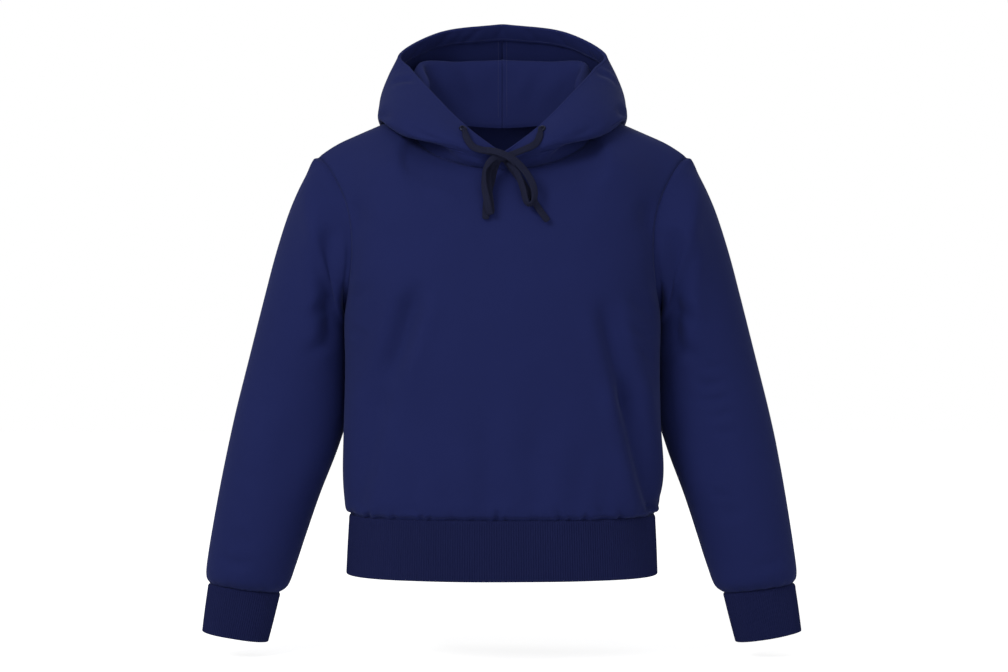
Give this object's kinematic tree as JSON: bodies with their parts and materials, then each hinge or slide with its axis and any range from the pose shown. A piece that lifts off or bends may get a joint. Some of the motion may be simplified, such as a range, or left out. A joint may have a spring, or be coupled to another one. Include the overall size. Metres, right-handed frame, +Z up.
{
  "type": "pullover hoodie",
  "caption": "Pullover hoodie with long sleeves, ribbed cuffs and waistband, and a hood thrown back with a drawcord tied in a bow.",
  "frame": {"origin": "between the wearer's shoulders, level with the upper end of the armholes, where the shoulders hold the garment up", "axes": "+Z up along the wearer's trunk, the front faces -Y, +X towards the wearer's left arm"},
  "size_m": [0.7466, 0.2863, 0.7877],
  "materials": {
    "fleece": "matt",
    "rib": "matt",
    "drawcord": "matt",
    "eyelet_metal": "gloss"
  },
  "bodies": {
    "root": {"front": "fleece", "back": "fleece", "sleeve_left": "fleece", "sleeve_right": "fleece", "cuff_left": "rib", "cuff_right": "rib", "waistband": "rib", "hood_left": "fleece", "hood_right": "fleece", "hood_hem": "fleece", "eyelet_left": "eyelet_metal", "eyelet_right": "eyelet_metal", "knot": "drawcord", "cord_left": "drawcord", "cord_right": "drawcord", "loop_left": "drawcord", "loop_right": "drawcord", "tail_left": "drawcord", "tail_right": "drawcord"}
  },
  "joints": []
}
